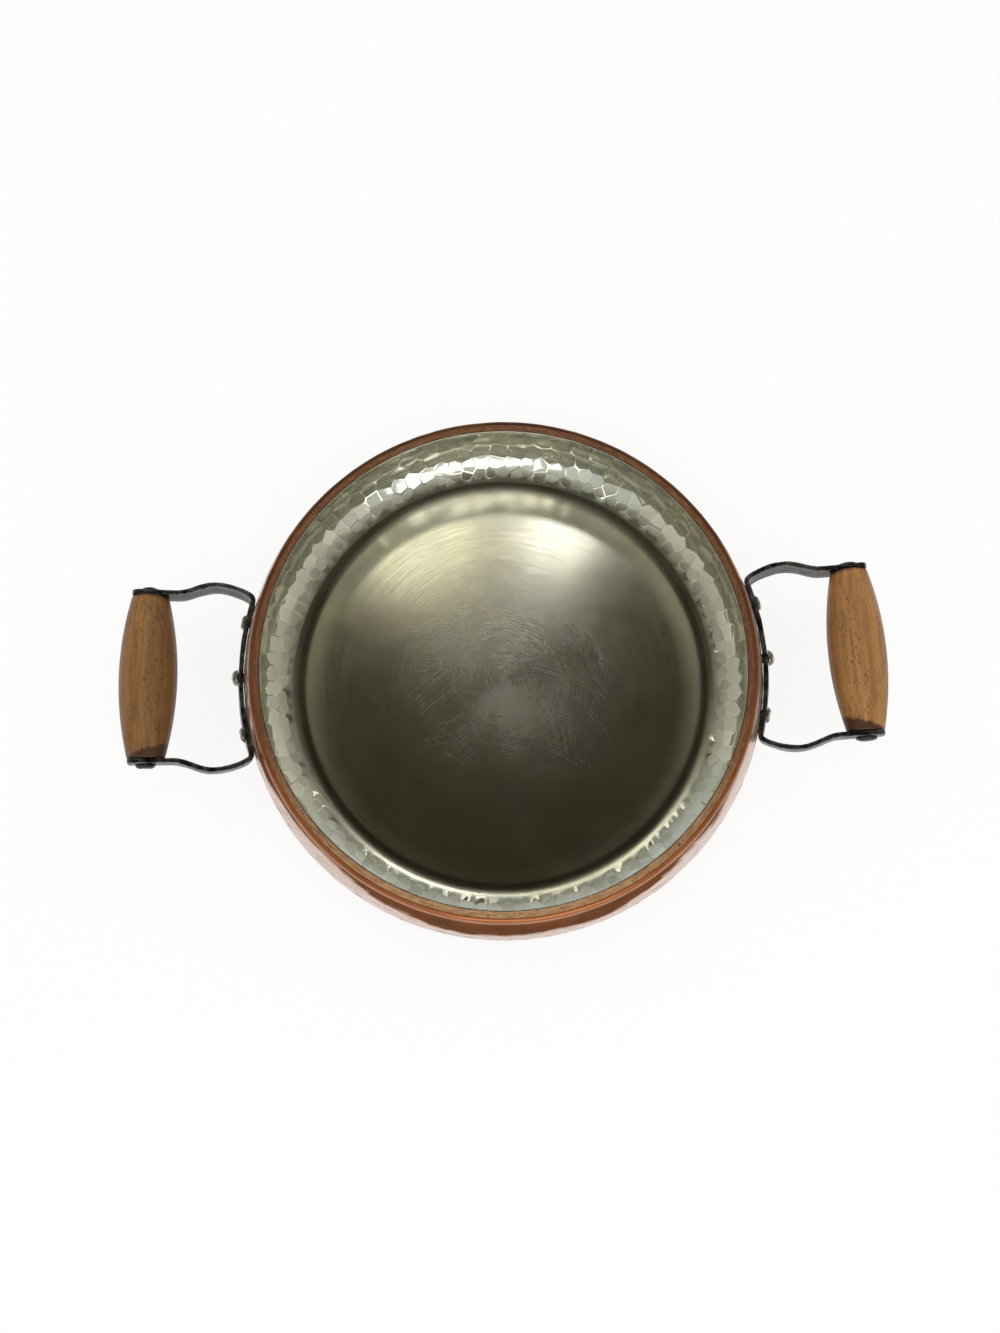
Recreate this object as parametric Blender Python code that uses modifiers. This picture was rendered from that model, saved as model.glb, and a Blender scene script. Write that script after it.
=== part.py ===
"""Copper casserole pot: a hammered copper pot with a tin lining and two side handles.

Each handle is an iron strip, bent to a bracket and held to the leaning wall by three rivets.
A rod runs through the bracket's two arms, and a turned wooden grip spins on it.
All sizes are in metres. +Z is up, the handles lie along X, and the origin is the base's centre.
"""

import math

import bmesh
import bpy
from mathutils import Vector

# Pot body
POT_HEIGHT = 0.065
OPENING_RADIUS = 0.120
RIM_EDGE_WIDTH = 0.0023
RIM_LIP_HEIGHT = 0.001
SHOULDER_RADIUS = 0.1262
SHOULDER_DROP = 0.0019
BELLY_RADIUS = 0.1373
BELLY_HEIGHT = 0.0236
BASE_RADIUS = 0.109
COPPER_THICKNESS = 0.0024
TIN_THICKNESS = 0.0004

# Bracket, bent from a flat strip. Reaches run out from the wall, spans are to the outside.
STRIP_WIDTH = 0.015
STRIP_THICKNESS = 0.0024
STRIP_EDGE_ROUND = 0.0004
BRACKET_DROP = 0.0235
ROOT_HALF_SPAN = 0.042
ROOT_BEND_RADIUS = 0.0045
BULGE_REACH = 0.0146
BULGE_HALF_SPAN = 0.0487
FLARE_REACH = 0.0345
TIP_OVERHANG = 0.0085
TIP_CORNER_RADIUS = 0.004

# Wooden grip and its rod
GRIP_REACH = 0.0464
GRIP_LENGTH = 0.0822
GRIP_MIDDLE_RADIUS = 0.0139
GRIP_END_RADIUS = 0.0091
GRIP_EDGE_ROUND = 0.0008
ROD_RADIUS = 0.003
ROD_HEAD_RADIUS = 0.005
ROD_HEAD_HEIGHT = 0.0018

# Rivets: one in the middle of each bracket and one to each side
RIVET_SHANK_RADIUS = 0.0025
RIVET_SPACING = 0.029
MIDDLE_HEAD_RADIUS = 0.0043
MIDDLE_HEAD_HEIGHT = 0.0031
SIDE_HEAD_RADIUS = 0.004
SIDE_HEAD_HEIGHT = 0.0016
INNER_HEAD_RADIUS = 0.0038
INNER_HEAD_HEIGHT = 0.0012

# Clearances, how far a cutter runs past what it cuts, and how near points are joined
CLEARANCE = 0.0003
INNER_HEAD_SEAT = 0.0005
OVERRUN = 0.004
WELD_DISTANCE = 0.000005

# Shapes
WALL_ROUND_EXPONENT = 1.55
FLAT_CROWN_SHARE = 0.45
SHARP_ANGLE = math.radians(35)

# Steps round each turned piece, and points along each outline
POT_STEPS = 72
GRIP_STEPS = 24
ROD_STEPS = 16
RIVET_STEPS = 12
WALL_POINTS = 6
CORNER_POINTS = 6
RIM_POINTS = 3
GRIP_POINTS = 10
HEAD_POINTS = 3
FLARE_POINTS = 6
FALL_POINTS = 4
BEND_POINTS = 4
STRAP_POINTS = 8
TIP_POINTS = 4
FIT_ROUNDS = 12
FIT_PLACES = 5

# Base colour, roughness and metallic value of each finish
FINISHES = {
    "copper": ((0.56, 0.24, 0.12), 0.32, 1.0),
    "tin": ((0.52, 0.50, 0.43), 0.36, 1.0),
    "black_iron": ((0.045, 0.043, 0.042), 0.45, 1.0),
    "rivet_steel": ((0.40, 0.38, 0.34), 0.40, 1.0),
    "oiled_wood": ((0.36, 0.17, 0.06), 0.55, 0.0),
}


def shares(count):
    """Evenly spaced shares from 0 to 1, both ends included."""
    return [step / count for step in range(count + 1)]


def beside(path, distance):
    """The path moved a distance to the left of its run, with mitred corners."""
    runs = [(end - start).normalized() for start, end in zip(path, path[1:])]
    moved = []
    for place, before, after in zip(path, runs[:1] + runs, runs + runs[-1:]):
        square = Vector((-before.y, before.x))
        mitre = (square + Vector((-after.y, after.x))).normalized()
        moved.append(place + mitre * distance / mitre.dot(square))
    return moved


def rounded(before, corner, after, radius, points):
    """Points of the arc that rounds the corner between two straight runs."""
    first = (before - corner).normalized()
    second = (after - corner).normalized()
    half_angle = first.angle(second) / 2
    centre = corner + (first + second).normalized() * radius / math.sin(half_angle)
    start = corner + first * radius / math.tan(half_angle) - centre
    end = corner + second * radius / math.tan(half_angle) - centre
    sweep = start.angle(end) * (1 if start.cross(end) > 0 else -1)
    begin = math.atan2(start.y, start.x)
    angles = [begin + sweep * share for share in shares(points)]
    return [centre + radius * Vector((math.cos(angle), math.sin(angle))) for angle in angles]


# Sections of the turned pieces, as radius and height


def wall_rise():
    """Height from the belly's widest line to the rim's shoulder."""
    return POT_HEIGHT - SHOULDER_DROP - BELLY_HEIGHT


def wall_radius(height):
    """Outer radius of the pot at a height."""
    if height < BELLY_HEIGHT:
        drop = min(1, 1 - height / BELLY_HEIGHT)
        return BASE_RADIUS + (BELLY_RADIUS - BASE_RADIUS) * math.sqrt(1 - drop**2)
    climb = min(1, (height - BELLY_HEIGHT) / wall_rise())
    return BELLY_RADIUS - (BELLY_RADIUS - SHOULDER_RADIUS) * climb**WALL_ROUND_EXPONENT


def wall_lean(height):
    """Angle by which the wall leans in at a height."""
    climb = max(0, height - BELLY_HEIGHT) / wall_rise()
    mean_slope = (BELLY_RADIUS - SHOULDER_RADIUS) / wall_rise()
    return math.atan(mean_slope * WALL_ROUND_EXPONENT * climb ** (WALL_ROUND_EXPONENT - 1))


def outer_wall():
    """Outer face of the copper from the rim's shoulder down to the centre of the base."""
    heights = [POT_HEIGHT - SHOULDER_DROP - share * wall_rise() for share in shares(WALL_POINTS)]
    wall = [Vector((wall_radius(height), height)) for height in heights]
    for share in shares(CORNER_POINTS)[1:]:
        turn = share * math.pi / 2
        radius = BASE_RADIUS + (BELLY_RADIUS - BASE_RADIUS) * math.cos(turn)
        wall.append(Vector((radius, BELLY_HEIGHT * (1 - math.sin(turn)))))
    return wall + [Vector((0, 0))]


def inner_wall():
    """Inner face of the copper from the top of the rim's lip down to the centre of the floor."""
    lip_radius = OPENING_RADIUS + TIN_THICKNESS + CLEARANCE
    lip = [Vector((lip_radius, POT_HEIGHT)), Vector((lip_radius, POT_HEIGHT - RIM_LIP_HEIGHT))]
    return lip + beside(outer_wall(), -COPPER_THICKNESS)


def rim_round():
    """The rim from its flat edge's outer side round to just above the shoulder."""
    flat_radius = inner_wall()[0].x + RIM_EDGE_WIDTH
    edge = []
    for share in shares(RIM_POINTS)[:-1]:
        turn = share * math.pi / 2
        radius = flat_radius + (SHOULDER_RADIUS - flat_radius) * math.sin(turn)
        edge.append(Vector((radius, POT_HEIGHT - SHOULDER_DROP * (1 - math.cos(turn)))))
    return edge


def copper_section():
    return inner_wall()[::-1] + rim_round() + outer_wall()


def tin_section():
    """The lining follows the copper's inner face, a clearance away from it."""
    outside = beside(inner_wall(), -CLEARANCE)
    inside = beside(inner_wall(), -CLEARANCE - TIN_THICKNESS)
    return inside[::-1] + outside


def grip_section():
    """The barrel-shaped grip: down its outer side, then up its bore."""
    half = GRIP_LENGTH / 2
    bore = ROD_RADIUS + CLEARANCE
    flat = GRIP_END_RADIUS - GRIP_EDGE_ROUND
    barrel = []
    for share in shares(GRIP_POINTS):
        off_middle = 1 - 2 * share
        swell = (GRIP_MIDDLE_RADIUS - GRIP_END_RADIUS) * (1 - off_middle**2)
        barrel.append(Vector((GRIP_END_RADIUS + swell, (half - GRIP_EDGE_ROUND) * off_middle)))
    top = [Vector((bore, half)), Vector((flat, half))]
    return top + barrel + [Vector((flat, -half)), Vector((bore, -half))]


def domed_head(radius, height):
    """A head from its crown's centre to its edge, above its seat."""
    turns = [share * math.pi / 2 for share in shares(HEAD_POINTS)]
    return [Vector((radius * math.sin(turn), height * math.cos(turn))) for turn in turns]


def flat_head(radius, height):
    """A hammered-down head: a level crown with a rounded edge."""
    crown = radius * FLAT_CROWN_SHARE
    edge = [place + Vector((crown, 0)) for place in domed_head(radius - crown, height)]
    return [Vector((0, height))] + edge


def pin_section(top_seat, top_head, bottom_seat, bottom_head, shank_radius):
    """A pin with a head above each seat, from one crown's centre to the other's."""
    top = [place + Vector((0, top_seat)) for place in top_head]
    bottom = [Vector((place.x, -place.y - bottom_seat)) for place in bottom_head[::-1]]
    shank = [Vector((shank_radius, top_seat)), Vector((shank_radius, -bottom_seat))]
    return top + shank + bottom


# The bracket's place on the wall


def bracket_height():
    return POT_HEIGHT - BRACKET_DROP


def bracket_lean():
    return wall_lean(bracket_height())


def wall_gap(reach, along, across):
    """Gap to the pot at a point of the bracket's frame, square to the wall.

    Reach runs out from the wall, along runs with the wall, and across is over the strip's width.
    """
    lean = bracket_lean()
    out = wall_radius(bracket_height()) + reach * math.cos(lean) - across * math.sin(lean)
    height = bracket_height() + reach * math.sin(lean) + across * math.cos(lean)
    return (math.hypot(out, along) - wall_radius(height)) * math.cos(lean)


def strap_reach(along):
    """Reach at which the strip's whole width keeps the clearance to the wall."""
    across = [STRIP_WIDTH * (share - 1 / 2) for share in shares(FIT_PLACES)]
    reach = 0
    for _ in range(FIT_ROUNDS):
        reach += CLEARANCE - min(wall_gap(reach, along, place) for place in across)
    return reach


def strap_turn(along):
    """Angle from the bracket's middle line to the way that the strap faces."""
    step = STRIP_THICKNESS
    return math.atan2(strap_reach(along - step) - strap_reach(along + step), 2 * step)


def arm_half_span():
    """From the bracket's middle to the outside of an arm's tip."""
    return GRIP_LENGTH / 2 + CLEARANCE + STRIP_THICKNESS


def half_strip():
    """Back of the strip from one arm's tip to the middle of the strap."""
    arm = [Vector((GRIP_REACH + TIP_OVERHANG, arm_half_span()))]
    for share in shares(FLARE_POINTS):
        reach = FLARE_REACH + (BULGE_REACH - FLARE_REACH) * share
        rise = (BULGE_HALF_SPAN - arm_half_span()) * (1 - math.cos(share * math.pi)) / 2
        arm.append(Vector((reach, arm_half_span() + rise)))
    root = Vector((strap_reach(ROOT_HALF_SPAN), ROOT_HALF_SPAN))
    for share in shares(FALL_POINTS)[1:-1]:
        reach = BULGE_REACH + (root.x - BULGE_REACH) * share
        arm.append(Vector((reach, BULGE_HALF_SPAN - (BULGE_HALF_SPAN - root.y) * share**2)))
    spans = [ROOT_HALF_SPAN * (1 - share) for share in shares(STRAP_POINTS)[1:]]
    strap = [Vector((strap_reach(span), span)) for span in spans]
    return arm + rounded(arm[-1], root, strap[0], ROOT_BEND_RADIUS, BEND_POINTS) + strap


def strip_outline():
    half = half_strip()
    back = half + [Vector((place.x, -place.y)) for place in half[-2::-1]]
    return back + beside(back, STRIP_THICKNESS)[::-1]


def strip_side_outline():
    """The strip seen along the grip: as wide as the strip, with rounded corners at the tips."""
    tip = GRIP_REACH + TIP_OVERHANG
    back = strap_reach(ROOT_HALF_SPAN) - OVERRUN
    half = STRIP_WIDTH / 2
    bottom, top = Vector((tip, -half)), Vector((tip, half))
    back_bottom, back_top = Vector((back, -half)), Vector((back, half))
    lower = rounded(back_bottom, bottom, top, TIP_CORNER_RADIUS, TIP_POINTS)
    upper = rounded(bottom, top, back_top, TIP_CORNER_RADIUS, TIP_POINTS)
    return [back_bottom] + lower + upper + [back_top]


# Objects


def new_collection(name):
    collection = bpy.data.collections.new(name)
    bpy.context.scene.collection.children.link(collection)
    return collection


def new_material(name):
    colour, roughness, metallic = FINISHES[name]
    material = bpy.data.materials.new(name)
    material.use_nodes = True
    shader = material.node_tree.nodes["Principled BSDF"]
    shader.inputs["Base Color"].default_value = (*colour, 1)
    shader.inputs["Roughness"].default_value = roughness
    shader.inputs["Metallic"].default_value = metallic
    material.diffuse_color = (*colour, 1)
    return material


def settled(shape, name):
    """The evaluated shape as a closed mesh, in place of the object that made it."""
    bpy.context.scene.collection.objects.link(shape)
    graph = bpy.context.evaluated_depsgraph_get()
    mesh = bpy.data.meshes.new_from_object(shape.evaluated_get(graph))
    bpy.data.objects.remove(shape)
    mesh.name = name
    closed = bmesh.new()
    closed.from_mesh(mesh)
    bmesh.ops.remove_doubles(closed, verts=closed.verts, dist=WELD_DISTANCE)
    closed.to_mesh(mesh)
    closed.free()
    mesh.shade_smooth()
    mesh.set_sharp_from_angle(angle=SHARP_ANGLE)
    return bpy.data.objects.new(name, mesh)


def turned(name, section, steps, closed_loop=False):
    """A section turned round the Z axis. A closed loop makes a ring."""
    count = len(section)
    edges = [(index, index + 1) for index in range(count - 1)]
    if closed_loop:
        edges.append((count - 1, 0))
    mesh = bpy.data.meshes.new(name + "_section")
    mesh.from_pydata([(place.x, 0, place.y) for place in section], edges, [])
    shape = bpy.data.objects.new(name + "_section", mesh)
    screw = shape.modifiers.new("Turn", "SCREW")
    screw.steps = screw.render_steps = steps
    screw.use_merge_vertices = True
    screw.merge_threshold = WELD_DISTANCE
    return settled(shape, name)


def extruded(name, outline, half_depth):
    """A flat outline given depth to both sides of the XY plane."""
    curve = bpy.data.curves.new(name + "_outline", "CURVE")
    curve.dimensions = "2D"
    curve.fill_mode = "BOTH"
    curve.extrude = half_depth
    spline = curve.splines.new("POLY")
    spline.points.add(len(outline) - 1)
    for point, place in zip(spline.points, outline):
        point.co = (place.x, place.y, 0, 1)
    spline.use_cyclic_u = True
    return settled(bpy.data.objects.new(name + "_outline", curve), name)


def put(thing, collection, parent, location=(0, 0, 0), rotation=(0, 0, 0), material=None):
    """Puts an object in its collection and under its parent, with its own material."""
    collection.objects.link(thing)
    thing.parent = parent
    thing.location = location
    thing.rotation_euler = rotation
    if material:
        thing.data.materials.append(material)
    return thing


def drill(name, radius, top, bottom, collection, parent, location, rotation):
    """A cutter for a round hole along its own Z axis, from the top down to the bottom."""
    mesh = bpy.data.meshes.new(name)
    shape = bmesh.new()
    bmesh.ops.create_cone(
        shape, cap_ends=True, segments=ROD_STEPS, radius1=radius, radius2=radius, depth=top - bottom
    )
    bmesh.ops.translate(shape, verts=shape.verts, vec=(0, 0, (top + bottom) / 2))
    shape.to_mesh(mesh)
    shape.free()
    return as_cutter(put(bpy.data.objects.new(name, mesh), collection, parent, location, rotation))


def as_cutter(cutter):
    cutter.hide_render = True
    cutter.display_type = "WIRE"
    return cutter


def cut(target, cutter, operation="DIFFERENCE"):
    boolean = target.modifiers.new(cutter.name, "BOOLEAN")
    boolean.operation = operation
    boolean.solver = "EXACT"
    boolean.object = cutter


# The pot's pieces

ALONG_GRIP = (-math.pi / 2, 0, 0)


def pot_body(parts, root):
    copper = turned("pot_body", copper_section(), POT_STEPS)
    return put(copper, parts, root, material=new_material("copper"))


def tin_lining(parts, root):
    tin = turned("tin_lining", tin_section(), POT_STEPS)
    return put(tin, parts, root, material=new_material("tin"))


def bracket(side, parts, cutters, frame):
    """The bent strip, its tips' corners rounded and its edges eased."""
    strip = extruded(side + "_bracket", strip_outline(), STRIP_WIDTH / 2 + OVERRUN)
    put(strip, parts, frame, material=new_material("black_iron"))
    tips = extruded(side + "_bracket_tips", strip_side_outline(), BULGE_HALF_SPAN + OVERRUN)
    as_cutter(put(tips, cutters, frame, rotation=(math.pi / 2, 0, 0)))
    cut(strip, tips, "INTERSECT")
    ease = strip.modifiers.new("Eased edges", "BEVEL")
    ease.width = STRIP_EDGE_ROUND
    ease.segments = 1
    ease.limit_method = "ANGLE"
    ease.angle_limit = SHARP_ANGLE
    return strip


def grip(side, parts, frame):
    wood = turned(side + "_grip", grip_section(), GRIP_STEPS, closed_loop=True)
    return put(wood, parts, frame, (GRIP_REACH, 0, 0), ALONG_GRIP, new_material("oiled_wood"))


def grip_rod(side, strip, parts, cutters, frame):
    """The rod through both arms and the grip, with its ends hammered down over the arms."""
    axis = (GRIP_REACH, 0, 0)
    seat = arm_half_span() + CLEARANCE
    end = flat_head(ROD_HEAD_RADIUS, ROD_HEAD_HEIGHT)
    rod = turned(side + "_grip_rod", pin_section(seat, end, seat, end, ROD_RADIUS), ROD_STEPS)
    reach = seat + OVERRUN
    hole = drill(
        side + "_rod_hole", ROD_RADIUS + CLEARANCE, reach, -reach, cutters, frame, axis, ALONG_GRIP
    )
    cut(strip, hole)
    return put(rod, parts, frame, axis, ALONG_GRIP, new_material("black_iron"))


def rivet(name, along, outer_head, targets, parts, cutters, frame):
    """A rivet through the strap, the copper and the tin, at a place along the strap."""
    reach = strap_reach(along)
    spot, facing = (reach, along, 0), (0, math.pi / 2, strap_turn(along))
    top = STRIP_THICKNESS + CLEARANCE
    gap = wall_gap(reach, along, 0)
    bottom = gap + COPPER_THICKNESS + CLEARANCE + TIN_THICKNESS + INNER_HEAD_SEAT
    inner_head = flat_head(INNER_HEAD_RADIUS, INNER_HEAD_HEIGHT)
    section = pin_section(top, outer_head, bottom, inner_head, RIVET_SHANK_RADIUS)
    hole_radius = RIVET_SHANK_RADIUS + CLEARANCE
    high, low = top + OVERRUN, -bottom - OVERRUN
    hole = drill(name + "_hole", hole_radius, high, low, cutters, frame, spot, facing)
    for target in targets:
        cut(target, hole)
    pin = turned(name, section, RIVET_STEPS)
    return put(pin, parts, frame, spot, facing, new_material("rivet_steel"))


def handle(side, half_turn, ends, copper, tin, parts, cutters, root):
    """One handle, built in a frame that lies square to the leaning wall."""
    frame = bpy.data.objects.new(side + "_handle_frame", None)
    wall = wall_radius(bracket_height())
    facing = math.cos(half_turn)
    put(frame, parts, root, (wall * facing, 0, bracket_height()), (0, -bracket_lean(), half_turn))
    strip = bracket(side, parts, cutters, frame)
    grip(side, parts, frame)
    grip_rod(side, strip, parts, cutters, frame)
    targets = [copper, tin, strip]
    middle_head = domed_head(MIDDLE_HEAD_RADIUS, MIDDLE_HEAD_HEIGHT)
    rivet(side + "_rivet_middle", 0, middle_head, targets, parts, cutters, frame)
    for end, along in zip(ends, (RIVET_SPACING, -RIVET_SPACING)):
        side_head = flat_head(SIDE_HEAD_RADIUS, SIDE_HEAD_HEIGHT)
        rivet(side + "_rivet_" + end, along, side_head, targets, parts, cutters, frame)


def main():
    for thing in list(bpy.data.objects):
        bpy.data.objects.remove(thing)
    parts = new_collection("copper_casserole_pot")
    cutters = new_collection("cutters")
    root = put(bpy.data.objects.new("pot_frame", None), parts, None)
    copper = pot_body(parts, root)
    tin = tin_lining(parts, root)
    handle("right", 0, ("back", "front"), copper, tin, parts, cutters, root)
    handle("left", math.pi, ("front", "back"), copper, tin, parts, cutters, root)


main()
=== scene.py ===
import bisect
import math
import random

import bmesh
import bpy
from mathutils import Euler, Matrix, Vector, kdtree, noise


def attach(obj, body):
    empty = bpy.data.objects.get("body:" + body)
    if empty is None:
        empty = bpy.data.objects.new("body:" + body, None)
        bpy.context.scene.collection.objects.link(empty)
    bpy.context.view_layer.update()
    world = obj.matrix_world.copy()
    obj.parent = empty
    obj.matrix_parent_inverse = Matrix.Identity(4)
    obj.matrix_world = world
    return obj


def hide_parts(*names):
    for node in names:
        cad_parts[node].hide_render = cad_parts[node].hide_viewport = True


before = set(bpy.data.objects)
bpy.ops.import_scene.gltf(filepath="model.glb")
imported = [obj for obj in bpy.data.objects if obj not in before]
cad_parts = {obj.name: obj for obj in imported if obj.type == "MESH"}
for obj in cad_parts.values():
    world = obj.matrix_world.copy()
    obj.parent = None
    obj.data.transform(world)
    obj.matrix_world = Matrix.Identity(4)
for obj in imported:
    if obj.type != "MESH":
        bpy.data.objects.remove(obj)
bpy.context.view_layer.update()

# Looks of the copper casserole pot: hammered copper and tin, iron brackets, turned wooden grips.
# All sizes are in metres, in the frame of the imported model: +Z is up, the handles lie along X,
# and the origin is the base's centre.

# Pot body and lining
POT_HEIGHT = 0.065
OPENING_RADIUS = 0.120
RIM_EDGE_WIDTH = 0.0023
RIM_LIP_HEIGHT = 0.001
SHOULDER_RADIUS = 0.1262
SHOULDER_DROP = 0.0019
BELLY_RADIUS = 0.1373
BELLY_HEIGHT = 0.0236
BASE_RADIUS = 0.109
COPPER_THICKNESS = 0.0024
TIN_THICKNESS = 0.0004
WALL_ROUND_EXPONENT = 1.55

# Brackets, grips, rods and rivets
STRIP_WIDTH = 0.015
STRIP_THICKNESS = 0.0024
BRACKET_DROP = 0.0235
ROOT_HALF_SPAN = 0.042
ROOT_BEND_RADIUS = 0.0045
BULGE_REACH = 0.0146
BULGE_HALF_SPAN = 0.0487
FLARE_REACH = 0.0345
TIP_OVERHANG = 0.0085
TIP_CORNER_RADIUS = 0.004
GRIP_REACH = 0.0464
GRIP_AXIS = 0.178705
GRIP_LENGTH = 0.0822
GRIP_MIDDLE_RADIUS = 0.0139
GRIP_END_RADIUS = 0.0091
GRIP_EDGE_ROUND = 0.0008
ROD_RADIUS = 0.003
ROD_HEAD_RADIUS = 0.005
ROD_HEAD_HEIGHT = 0.0018
RIVET_SHANK_RADIUS = 0.0025
RIVET_SPACING = 0.029
MIDDLE_HEAD_RADIUS = 0.0043
MIDDLE_HEAD_HEIGHT = 0.0031
SIDE_HEAD_RADIUS = 0.004
SIDE_HEAD_HEIGHT = 0.0016
INNER_HEAD_RADIUS = 0.0038
INNER_HEAD_HEIGHT = 0.0012
INNER_HEAD_SEAT = 0.0005
FLAT_CROWN_SHARE = 0.45
STRIP_WORN_ROUND = 0.00045
STRIP_SPACING = 0.0011
HEAD_MARGIN = 0.0002
CLEARANCE = 0.0003
WELD_DISTANCE = 0.000002
TURNED_FLOOR_TOP = 0.0043
FLOOR_LINE_SHARE = 0.905
FLOOR_PRESSED_UP = 0.0004
NECK_START = 0.003

# Hammer marks
# Heights on a wall: its lower end, its first and last blows, and its upper end
TIN_HEIGHTS = (0.0038, 0.0045, 0.0588, 0.0608)
COPPER_HEIGHTS = (0.0016, 0.0034, 0.0590, 0.0615)
LAID_RADIUS = 0.128
LAID_LENGTH = 2 * math.pi * LAID_RADIUS
BLOW_WIDTH_SHARE = 1.2
BLOW_SCATTER_SHARE = 0.18
SMOOTH_COUNT = 288
SMOOTH_STEP = 0.0013
CELL_REACH = 0.02
STRUCK_RANGE = 0.03
SMOOTH_RANGE = 0.0055
BEND_STEP = 0.003
TILT_EASE = 0.035
CELL_SCALES = (0.94, 0.72, 0.5)
CREASE_WELD = 0.000006

# The photograph's frame and where its camera stood
PHOTO_WIDTH, PHOTO_HEIGHT = 1000, 1333
FOCAL_PIXELS = 963
SENSOR_SIZE = 36
CAMERA_PLACE = (-0.0018, -0.0931, 0.5305)
CAMERA_TILT = math.radians(10.897)
POT_TURN = math.radians(2.2)


# Node trees filled in from expressions


class Wire:
    """An output of a node. Sums on wires add the nodes that work them out."""

    def __init__(self, plan, socket):
        self.plan, self.socket = plan, socket

    def __add__(self, other):
        return self.plan.maths("ADD", self, other)

    def __sub__(self, other):
        return self.plan.maths("SUBTRACT", self, other)

    def __rsub__(self, other):
        return self.plan.maths("SUBTRACT", other, self)

    def __mul__(self, other):
        return self.plan.maths("MULTIPLY", self, other)

    def __truediv__(self, other):
        return self.plan.maths("DIVIDE", self, other)

    def __rtruediv__(self, other):
        return self.plan.maths("DIVIDE", other, self)

    def __pow__(self, other):
        return self.plan.maths("POWER", self, other)

    __radd__ = __add__
    __rmul__ = __mul__


class Plan:
    """A node tree, with one method that adds any node."""

    def __init__(self, tree):
        self.tree = tree

    def node(self, kind, settings=None, values=None, out=0):
        made = self.tree.nodes.new(kind)
        for name, value in (settings or {}).items():
            if name == "stops":
                self.set_stops(made.color_ramp, value)
            else:
                setattr(made, name, value)
        for name, value in (values or {}).items():
            self.feed(made.inputs[name], value)
        return Wire(self, made.outputs[out])

    def set_stops(self, ramp, stops):
        while len(ramp.elements) < len(stops):
            ramp.elements.new(1)
        for element, (place, colour) in zip(ramp.elements, stops):
            element.position = place
            element.color = (*colour, 1) if len(colour) == 3 else colour

    def feed(self, socket, value):
        if isinstance(value, Wire):
            self.tree.links.new(value.socket, socket)
        elif socket.type == "RGBA":
            socket.default_value = (*value, 1)
        else:
            socket.default_value = value

    def maths(self, operation, *values):
        return self.node("ShaderNodeMath", {"operation": operation}, dict(enumerate(values)))

    def vector(self, operation, *values, out=0):
        settings = {"operation": operation}
        return self.node("ShaderNodeVectorMath", settings, dict(enumerate(values)), out)

    def stretched(self, vector, scales):
        return self.vector("MULTIPLY", vector, scales)

    def joined(self, x, y, z):
        return self.node("ShaderNodeCombineXYZ", None, {0: x, 1: y, 2: z})

    def parts(self, vector):
        split = self.node("ShaderNodeSeparateXYZ", None, {0: vector}).socket.node
        return [Wire(self, socket) for socket in split.outputs]

    def ranged(self, value, low, high, to_low=0.0, to_high=1.0):
        values = {0: value, 1: low, 2: high, 3: to_low, 4: to_high}
        return self.node("ShaderNodeMapRange", {"clamp": True}, values)

    def mixed(self, share, first, second):
        values = {0: share, 6: first, 7: second}
        return self.node("ShaderNodeMix", {"data_type": "RGBA"}, values, out=2)

    def noise(self, vector, scale, detail=2.0, roughness=0.5, distortion=0.0):
        values = {
            "Vector": vector, "Scale": scale, "Detail": detail,
            "Roughness": roughness, "Distortion": distortion,
        }
        return self.node("ShaderNodeTexNoise", None, values)


class Finish(Plan):
    """The material of one finish, its patterns laid out on Object coordinates."""

    def __init__(self, name):
        self.material = bpy.data.materials.new(name)
        self.material.use_nodes = True
        super().__init__(self.material.node_tree)
        self.shader = self.tree.nodes["Principled BSDF"]
        self.place = self.node("ShaderNodeTexCoord", out="Object")
        self.x, self.y, self.z = self.parts(self.place)

    def spread(self):
        """Distance from the pot's axis."""
        return self.maths("SQRT", self.x * self.x + self.y * self.y)

    def around(self, turns, along):
        """A pattern's place that runs round the pot's axis without a seam."""
        reach = self.maths("MAXIMUM", self.spread(), 0.001)
        return self.joined(self.x / reach * turns, self.y / reach * turns, along)

    def bumped(self, height, depth, strength=1.0):
        values = {"Height": height, "Distance": depth, "Strength": strength}
        self.feed(self.shader.inputs["Normal"], self.node("ShaderNodeBump", None, values))

    def close(self, values):
        for name, value in values.items():
            self.feed(self.shader.inputs[name], value)
        return self.material


# Finishes


def tin_colour(finish, warm, cool, dark):
    """Grey tin with warm and cool clouds, and small darker stains."""
    clouds = finish.noise(finish.place, 28, 4, 0.6)
    colour = finish.mixed(finish.ranged(clouds, 0.35, 0.65), warm, cool)
    stains = finish.noise(finish.place, 140, 5, 0.7)
    return finish.mixed(finish.ranged(stains, 0.62, 0.78, 0, 0.35), colour, dark)


def tin_wall_finish():
    finish = Finish("tinned_wall")
    facet = finish.node("ShaderNodeAttribute", {"attribute_name": "blow"}, out="Fac")
    colour = tin_colour(finish, (0.66, 0.645, 0.53), (0.58, 0.59, 0.53), (0.38, 0.37, 0.30))
    colour = finish.mixed(facet * 0.8, colour, (0.90, 0.885, 0.76))
    wipes = finish.noise(finish.stretched(finish.place, (1, 1, 0.35)), 420, 3, 0.6)
    rough = finish.ranged(facet, 0, 1, 0.16, 0.07) + finish.ranged(wipes, 0.4, 0.8, 0, 0.07)
    grain = finish.noise(finish.place, 900, 2, 0.6) * 0.4 + finish.noise(finish.place, 160, 2, 0.5)
    finish.bumped(grain, 0.00002)
    return finish.close({"Base Color": colour, "Roughness": rough, "Metallic": 0.92})


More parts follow.
